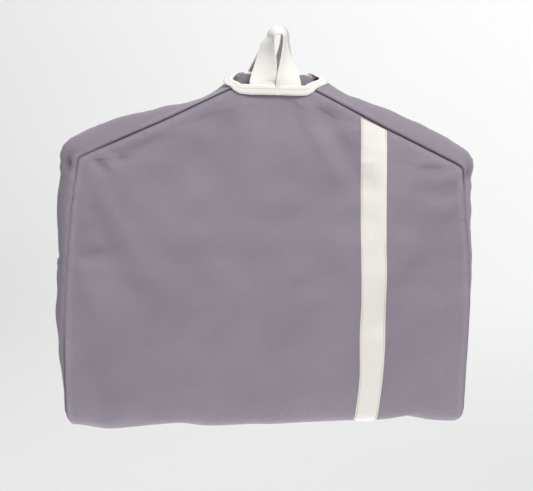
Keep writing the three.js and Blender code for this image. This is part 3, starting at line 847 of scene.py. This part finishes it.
def zip_coil(half, side, facing, top):
    """A nylon coil: one long helix, flattened, whose turns mesh with the other side's."""
    sign = 1 if side == "right" else -1
    guide = zip_line(0, facing, 0, top)[::-1]
    turns = int((top - FOLD_Z) / COIL_PITCH)
    angle = np.linspace(0, 2 * np.pi * turns, turns * COIL_POINTS + 1)
    z = top - (angle / (2 * np.pi) + (0.5 if sign > 0 else 0)) * COIL_PITCH
    z = np.clip(z, FOLD_Z + 0.0004, top)
    depth = np.interp(z, guide[:, 2], np.abs(guide[:, 1])) + 0.0016
    depth = np.maximum(depth, 0.0016)
    swing = np.cos(angle)
    centre = np.stack([sign * (0.00155 - 0.00135 * swing), facing * (depth - 0.0008 * np.sin(angle)), z], 1)
    run = np.gradient(centre, axis=0)
    run /= np.linalg.norm(run, axis=1, keepdims=True)
    first = np.cross(run, [0, 0, 1.0])
    first /= np.linalg.norm(first, axis=1, keepdims=True)
    second = np.cross(run, first)
    around = np.linspace(0, 2 * np.pi, COIL_SIDES, endpoint=False)
    ring = first[:, None] * np.cos(around)[None, :, None] + second[:, None] * np.sin(around)[None, :, None]
    points = centre[:, None] + 0.00036 * ring
    index = np.arange(points.shape[0] * COIL_SIDES).reshape(-1, COIL_SIDES)
    after = np.roll(index, -1, axis=1)
    walls = [part.ravel() for part in (index[:-1], after[:-1], after[1:], index[1:])]
    faces = np.stack(walls, 1).tolist()
    faces += [list(index[0][::-1]), list(index[-1])]
    name = f"zip_coil_{half}_{side}_wound"
    piece = make_object(name, points.reshape(-1, 3), faces, coil_plastic, smooth_angle=80)
    return place(piece, f"{half}_half", "zip_coil", f"zip_coil_{half}_{side}")


def inner_side(half, side, facing, top, seed):
    sign = 1 if side == "right" else -1
    grid, uv, values = inner_grid(sign, facing, seed)
    stitches = grid[:, 3], grid[:, 5]
    # the inner face looks towards the other half
    if sign * facing < 0:
        grid, uv, values = flipped(grid, uv, values)
    piece = sheet_object(f"{half}_inner_{side}", grid, uv, CANVAS, canvas, values)
    place(piece, f"{half}_half", "canvas", f"{half}_inner_panel_{side}")
    normal = np.broadcast_to([0.0, -facing, 0.0], (len(ROWS), 3))
    zip_tape(half, side, facing, top)
    zip_coil(half, side, facing, top)
    return [(line, normal) for line in stitches]


for half, facing, top, seed in (("front", -1, -0.101, 51), ("rear", 1, -0.132, 61)):
    lines = []
    for k, side in enumerate(("right", "left")):
        lines += inner_side(half, side, facing, top, seed + 3 * k)
    place(stitch_rows(f"zip_stitches_{half}", lines, dark_thread), f"{half}_half", "canvas")


# ---- stripe ----

STRIPE_ACROSS = np.array([0, 0.03, 0.2, 0.4, 0.6, 0.8, 0.97, 1.0])


def stripe_left(z):
    """The stripe's left edge on the flat cloth. It hangs straight once the cloth leans."""
    return curve(z, (-0.60, 0.1200), (-0.567, 0.1245), (-0.537, 0.1305), (-0.485, 0.1355), (-0.42, 0.1372),
                 (-0.34, 0.1345), (-0.25, 0.1320), (-0.11, 0.1285))


def stripe_points():
    """Points of the stripe on the outer cloth."""
    rows = len(outer.level)
    numbers = np.arange(rows, dtype=float)
    height = outer.level - FOLD_RADIUS * np.sin(outer.turn)
    slope = (NECK_Z - SHOULDER_Z) / (SHOULDER_HALF - NECK_HALF)
    first = int(np.argmax(outer.level < -0.152))
    middle = np.arange(first, rows - first, dtype=float)
    grid = []
    for part in STRIPE_ACROSS:
        x_top = stripe_left(-0.12) + WEBBING_WIDTH * part
        z_top = NECK_Z - (x_top - NECK_HALF) * slope - 0.003
        top = np.interp(-z_top, -outer.level[:len(ROWS)], numbers[:len(ROWS)])
        lead = lerp(top, first, np.linspace(0, 1, 6)[:-1])
        path = np.concatenate([lead, middle, (rows - 1) - lead[::-1]])
        x = stripe_left(np.interp(path, numbers, height)) + WEBBING_WIDTH * part
        grid.append(outer.sample(x, path))
    return np.stack(grid, 1)


def stripe():
    under = stripe_points()
    for column in under.swapaxes(0, 1):
        column[11:-11, 0] = smoothed(column[:, 0], 23)[11:-11]
    normal = grid_normals(under)
    lift = np.array([0.0006, 0.0011, 0.0014, 0.0014, 0.0014, 0.0014, 0.0011, 0.0006])
    ripple = 0.00025 * waves(np.arange(under.shape[0])[:, None] * 0.005, under[..., 0], 0.02, 71)
    grid = under + normal * (lift + ripple)[..., None]
    run = arc_lengths(under[:, 4])
    uv = np.stack(np.meshgrid(STRIPE_ACROSS * WEBBING_WIDTH, run), -1)
    piece = sheet_object("stripe", grid, uv, 0.0012, webbing, {"seam": 0})
    # the webbing is cut square, a little above the seams that cross its ends at a slant
    lines = []
    for part in (0.06, 0.94):
        column = lerp(grid[:, 0], grid[:, -1], part) + normal[:, 3] * 0.0006
        lines.append((column, normal[:, 3]))
    stitches = stitch_rows("stripe_stitches", lines, thread)
    place_over_fold(piece, "webbing", "front_stripe", "rear_stripe", "fold_stripe")
    place_over_fold(stitches, "webbing")


stripe()


# ---- the tucked ends of the gussets inside the turn ----


def fold_gusset(side, sign):
    """A small fan of cloth that closes the end of the turn."""
    angle = np.linspace(0.02, np.pi - 0.02, 15)
    radius = np.array([0.0015, 0.005, 0.009, 0.013, 0.0165, 0.0182])
    a, r = np.meshgrid(angle, radius, indexing="ij")
    pleat = 0.0010 * np.cos(6 * a) * r / FOLD_RADIUS
    half = FOLD_HALF - FOLD_TUCK * np.sin(a) ** 2
    x = sign * (half - 0.0035 + 0.0030 * (1 - (r / FOLD_RADIUS) ** 2) + pleat)
    grid = np.stack([x, -r * np.cos(a), FOLD_Z - r * np.sin(a)], -1)
    if sign < 0:
        grid = grid[:, ::-1]
    # painted shade where the fan meets the outer cloth; paler all over
    values = {"wear_and_highlight": 0 * a + 0.2, "seam": 0.3 * ease(r, 0.017, 0.019)}
    piece = sheet_object(f"fold_end_{side}", drape(grid), grid_uv(grid), CANVAS, canvas, values)
    place_over_fold(piece, "canvas", f"fold_gusset_{side}")


fold_gusset("right", 1)
fold_gusset("left", -1)


# ---- the binding round the hanger opening ----


def ring_sections():
    """Edge point, direction down the cloth and outward normal all round the opening, from the
    centre back by the left end, the front and the right end."""
    steps = np.array([0, 0.04, 0.1, 0.2, 0.32, 0.44, 0.56, 0.68, 0.8, 0.9, 0.96, 1])
    nx, nz = (float(v[0]) for v in outline_normal(np.array([NECK_Z - 0.006])))
    depth_in = float(inner_depth(1.0, NECK_Z))
    tilt = NECK_TILT[-1]
    sections = []

    def end(part, sign):
        out = float(bulge(sign * NECK_HALF, NECK_Z, -1)) * (4 * part * (1 - part)) ** 0.56
        notch = NOTCH * math.sin(math.pi * part)
        y = -lerp(NECK_DEPTH, depth_in, part)
        x = NECK_HALF + nx * out + nz * notch
        point = np.array([sign * x, y, NECK_Z + nz * out - nx * notch + part * tilt])
        down = np.array([sign * nz, 0, -nx])
        turned = math.sin(math.pi * part)
        normal = np.array([sign * nx * turned, -math.cos(math.pi * part), nz * turned])
        return point, down, normal / np.linalg.norm(normal)

    def flat(x, back):
        y = inner_depth(abs(x) / NECK_HALF, NECK_Z) if back else NECK_DEPTH
        z = NECK_Z + (tilt if back else 0)
        return np.array([x, -float(y), z]), np.array([0, 0, -1.0]), np.array([0, 1.0 if back else -1.0, 0])

    sections += [flat(x, True) for x in (0, -0.014, -0.028, -0.040, -0.0455)]
    sections += [end(part, -1) for part in steps[::-1]]
    sections += [flat(x, False) for x in np.linspace(-0.0455, 0.0455, 13)]
    sections += [end(part, 1) for part in steps]
    sections += [flat(x, True) for x in (0.0455, 0.040, 0.028, 0.014, 0)]
    return [np.array(v) for v in zip(*sections)]


def neck_binding():
    point, down, normal = ring_sections()
    # the tape's turn between a straight stretch and an end is spread over a few sections
    for value in (down, normal):
        soft = (np.roll(value, 1, 0) + 2 * value + np.roll(value, -1, 0)) / 4
        value[1:-1] = soft[1:-1] / np.linalg.norm(soft[1:-1], axis=1, keepdims=True)
    # (distance down the cloth, distance out from its middle) of the folded tape
    profile = np.array([
        (BINDING_HEIGHT, 0.0019), (BINDING_HEIGHT - 0.0008, 0.0024), (0.011, 0.0026), (0.006, 0.0027),
        (0.003, 0.0025), (0.0008, 0.0024), (-0.0008, 0.0016), (-0.0014, 0.0002), (-0.0009, -0.0013),
        (0.0008, -0.0022), (0.004, -0.0024), (0.012, -0.0024),
    ])
    # it stands out over the loop's ends, which are sewn in behind it
    over_loop = (1 - ease(np.abs(point[:, 0]), 0.037, 0.044)) * (point[:, 1] < -0.03)
    rows = []
    for k, (drop, out) in enumerate(profile):
        lift = out + (0.0016 * over_loop if out > 0 else 0)
        wobble = 0.00035 * waves(np.arange(len(point)) * 0.01, 0 * over_loop + 0.004 * k, 0.03, 81)
        rows.append(point + down * drop + normal * (lift + wobble)[:, None])
    grid = np.stack(rows[::-1], 0)
    run = arc_lengths(point)
    fall = arc_lengths(grid[:, 20])
    uv = np.stack(np.meshgrid(run, fall), -1)[..., ::-1]
    grid = drape(grid)
    piece = sheet_object("neck_binding_folded", grid, uv, 0.0009, webbing, {"seam": 0})
    place(piece, "front_half", "webbing", "neck_binding")
    out = grid_normals(grid)
    lines = [(lerp(grid[8], grid[7], 0.5), out[8]), (lerp(grid[10], grid[9], 0.6), out[9])]
    place(stitch_rows("neck_binding_stitches", lines, thread), "front_half", "webbing")


neck_binding()


# ---- handle loops ----

HANDLE_BASE_Z = -0.092
HANDLE_Y = 0.022
LOOP_X, LOOP_Z = 0.0025, -0.0098  # the middle of the turn over the hook
LOOP_RADIUS = 0.0108
LOOP_FLARE = math.radians(12.5)  # the turn is wider at the back edge than at the front one
HANDLE_LEG_ROWS = 44
HANDLE_TURN_ROWS = 20
HANDLE_ACROSS = np.array([-1, -0.92, -0.6, -0.2, 0.2, 0.6, 0.92, 1.0]) * WEBBING_WIDTH / 2


def leg_edges(z, side):
    """X of the inner and outer edge of a leg at a height, as seen from the front."""
    start = LOOP_X + side * (LOOP_RADIUS - WEBBING_WIDTH / 2 * math.sin(LOOP_FLARE))
    end = LOOP_X + side * (LOOP_RADIUS + WEBBING_WIDTH / 2 * math.sin(LOOP_FLARE))
    if side < 0:
        inner = curve(z, (-0.094, -0.0038), (-0.074, -0.0034), (-0.060, -0.0019), (-0.040, -0.0026),
                      (-0.024, -0.0040), (LOOP_Z, start))
        outer_edge = curve(z, (-0.094, -0.0422), (-0.074, -0.0415), (-0.060, -0.0368), (-0.044, -0.0305),
                           (-0.028, -0.0245), (-0.017, -0.0192), (LOOP_Z, end))
    else:
        inner = curve(z, (-0.094, -0.0037), (-0.074, -0.0033), (-0.060, -0.0014), (-0.042, 0.0036),
                      (-0.028, 0.0068), (-0.018, 0.0086), (LOOP_Z, start))
        outer_edge = curve(z, (-0.094, 0.0340), (-0.074, 0.0335), (-0.060, 0.0298), (-0.044, 0.0240),
                           (-0.028, 0.0190), (-0.018, 0.0172), (LOOP_Z, end))
    return float(inner), float(outer_edge)


def leg_station(t, side):
    """Centre, direction to the inner edge and outward normal of the webbing at part t of a leg."""
    z = lerp(HANDLE_BASE_Z, LOOP_Z, t)
    inner, outer_edge = leg_edges(z, side)
    shown = min(1.0, abs(outer_edge - inner) / WEBBING_WIDTH)
    turned = math.sqrt(1 - shown**2)
    y = -lerp(NECK_DEPTH + 0.0015, HANDLE_Y, float(ease(z, -0.080, -0.005)))
    centre = np.array([(inner + outer_edge) / 2, y, z])
    return centre, np.array([-side * shown, -turned, 0]), np.array([side * turned, -shown, 0])


def turn_station(t):
    angle = math.pi * (1 - t)
    out = np.array([math.cos(angle), 0, math.sin(angle)])
    front = np.array([0, -1.0, 0])
    inward = math.cos(LOOP_FLARE) * front - math.sin(LOOP_FLARE) * out
    normal = math.cos(LOOP_FLARE) * out + math.sin(LOOP_FLARE) * front
    return out * LOOP_RADIUS + [LOOP_X, -HANDLE_Y, LOOP_Z], inward, normal


def handle_stations():
    stations = [leg_station(k / HANDLE_LEG_ROWS, -1) for k in range(HANDLE_LEG_ROWS)]
    stations += [turn_station(k / HANDLE_TURN_ROWS) for k in range(HANDLE_TURN_ROWS + 1)]
    stations += [leg_station(k / HANDLE_LEG_ROWS, 1) for k in range(HANDLE_LEG_ROWS - 1, -1, -1)]
    return stations


def handle(name, facing, shift):
    """facing is -1 for the front loop, 1 for the rear one."""
    selvedge = np.array([-0.0003, 0.0001, 0, 0, 0, 0, 0.0001, -0.0003])
    rows = []
    for centre, inward, normal in handle_stations():
        rows.append(centre + np.outer(HANDLE_ACROSS, inward) + np.outer(WEBBING / 2 + selvedge, normal))
    grid = np.stack(rows)
    grid[..., 1] *= -facing
    grid[..., 0] += shift * ease(grid[..., 2], -0.085, -0.020)
    uv = np.stack(np.meshgrid(HANDLE_ACROSS + WEBBING_WIDTH / 2, arc_lengths(grid[:, 4])), -1)
    if grid_normals(grid)[HANDLE_LEG_ROWS + HANDLE_TURN_ROWS // 2, 4, 2] < 0:
        grid, uv = grid[:, ::-1], uv[:, ::-1]
    piece = sheet_object(f"{name}_webbing", grid, uv, WEBBING, webbing, {"seam": 0})
    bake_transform(piece)
    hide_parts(name)


handle("front_handle", -1, 0.0)
handle("rear_handle", 1, 0.0032)


# ---- the rear end's webbing band and the zip's end tab ----


def flat_patch(name, low, high, y, facing, material, thickness, seed, stitch):
    """A sewn-on patch in an X-Z plane, with a line of stitches just inside its edge."""
    columns = max(8, int((high[0] - low[0]) / 0.004))
    rows = max(5, int((high[1] - low[1]) / 0.004))
    x, z = np.meshgrid(np.linspace(low[0], high[0], columns), np.linspace(high[1], low[1], rows))
    rim = np.minimum(np.minimum(x - low[0], high[0] - x), np.minimum(z - low[1], high[1] - z))
    lift = 0.0004 * ease(rim, 0, 0.002) + 0.0002 * waves(x, z, 0.02, seed)
    grid = np.stack([x, y + facing * lift, z], -1)
    uv = np.stack([z - low[1], x - low[0]], -1)
    if facing > 0:
        grid, uv = grid[:, ::-1], uv[:, ::-1]
    piece = sheet_object(name, drape(grid), uv, thickness, material, {"seam": 0, "wear_and_highlight": 0})
    inset = 0.0022
    a, b, c, d = low[0] + inset, high[0] - inset, low[1] + inset, high[1] - inset
    corners = np.array([(a, d), (b, d), (b, c), (a, c), (a, d)])
    t = np.linspace(0, 1, 20)[:, None]
    path = np.concatenate([lerp(p, q, t) for p, q in zip(corners, corners[1:])])
    line = np.stack([path[:, 0], np.full(len(path), y + facing * 0.0005), path[:, 1]], 1)
    normal = np.broadcast_to([0.0, facing, 0.0], line.shape)
    return piece, stitch_rows(f"{name}_stitches", [(drape(line), normal)], stitch)


band, band_stitches = flat_patch(
    "rear_band", (-0.058, -0.098), (0.058, -0.0812), NECK_DEPTH + 0.0038, 1, webbing, 0.0012, 101, thread)
place(band, "rear_half", "webbing", "rear_end_band")
place(band_stitches, "rear_half", "webbing")
low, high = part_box("zip_end_tab")
tab, tab_stitches = flat_patch(
    "zip_tab", (low.x, low.z), (high.x, high.z), low.y, -1, canvas, CANVAS, 103, dark_thread)
place(tab, "rear_half", "canvas", "zip_end_tab")
place(tab_stitches, "rear_half", "canvas")

for name in ("zip_slider", "zip_pull", "zip_top_stop", "zip_bottom_stop"):
    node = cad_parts[name]
    node.data.materials.clear()
    node.data.materials.append(nickel)


# ---- studio ----


def studio_material(name, value):
    n = Nodes(name)
    position = n.add("ShaderNodeTexCoord").outputs["Object"]
    fine = n.noise(position, 3.0, 2.0)
    colour = n.mix(fine, shade((value,) * 3, 0.99), shade((value,) * 3, 1))
    return n.finish(colour, 0.95, specular=0.1)


def studio():
    """A pale floor whose rim curves up all round into a low wall."""
    floor_z, floor_radius, bend_radius, bend = -1.15, 4.6, 1.4, 1.32
    profile = [(floor_radius / 2, floor_z)]
    for angle in np.linspace(0, bend, 12):
        rise = bend_radius * (1 - math.cos(angle))
        profile.append((floor_radius + bend_radius * math.sin(angle), floor_z + rise))
    sides = 72
    around = np.linspace(0, 2 * np.pi, sides, endpoint=False)
    points = [(r * math.cos(a), r * math.sin(a), z) for r, z in profile for a in around]
    points.append((0, 0, floor_z))
    faces = []
    for low in range(0, (len(profile) - 1) * sides, sides):
        high = low + sides
        for k in range(sides):
            after = (k + 1) % sides
            faces.append((low + k, high + k, high + after, low + after))
    faces += [(len(points) - 1, k, (k + 1) % sides) for k in range(sides)]
    bowl = make_object("studio_floor", points, faces, studio_material("pale_paper", 0.90))


def aimed(name, data, location, target):
    """A light or camera at location that looks at target."""
    made = added(name, data)
    made.location = location
    made.rotation_mode = "QUATERNION"
    made.rotation_quaternion = (Vector(target) - Vector(location)).to_track_quat("-Z", "Y")
    return made


def softbox(name, location, target, size, power):
    data = bpy.data.lights.new(name, "AREA")
    data.shape = "RECTANGLE"
    data.size, data.size_y = size
    data.energy = power
    aimed(name, data, location, target).visible_camera = False


def lights():
    centre = (0, 0, -0.3)
    softbox("key", (0.6, -1.35, 1.55), (0, 0, -0.18), (1.0, 0.7), 44)
    softbox("front", (0.6, -3.2, 0.4), centre, (1.6, 1.2), 4)
    softbox("left_fill", (-2.4, -1.6, 0.4), centre, (1.2, 1.6), 6)
    softbox("top", (0.1, 0.8, 1.7), (0, 0, -0.15), (1.6, 1.0), 4)
    softbox("under", (0.0, -0.04, -1.13), (0, 0, -0.5), (1.2, 0.2), 3)
    softbox("behind", (-0.8, 2.6, 1.8), centre, (1.5, 1.0), 29)
    softbox("backdrop", (1.5, 4.1, 2.2), (1.6, 5.6, -0.6), (3.6, 0.8), 74)
    world = bpy.data.worlds.new("studio")
    world.use_nodes = True
    background = world.node_tree.nodes["Background"]
    background.inputs["Color"].default_value = (1, 1, 1, 1)
    background.inputs["Strength"].default_value = 0.37
    bpy.context.scene.world = world
    bpy.context.scene.view_settings.view_transform = "Standard"


VIEW_AZIMUTH = math.radians(-4.5)
VIEW_DISTANCE = 4.0
VIEW_HEIGHT = 0.25
FRAME_WIDTH = 0.785  # the picture's width at the bag


def camera():
    data = bpy.data.cameras.new("camera")
    target = Vector((-0.0155, -0.03, -0.316))
    location = Vector((
        target.x + VIEW_DISTANCE * math.sin(VIEW_AZIMUTH),
        target.y - VIEW_DISTANCE * math.cos(VIEW_AZIMUTH),
        VIEW_HEIGHT,
    ))
    data.sensor_width = 36
    data.lens = data.sensor_width * (target - location).length / FRAME_WIDTH
    data.clip_end = 50
    bpy.context.scene.camera = aimed("camera", data, location, target)


studio()
lights()
camera()
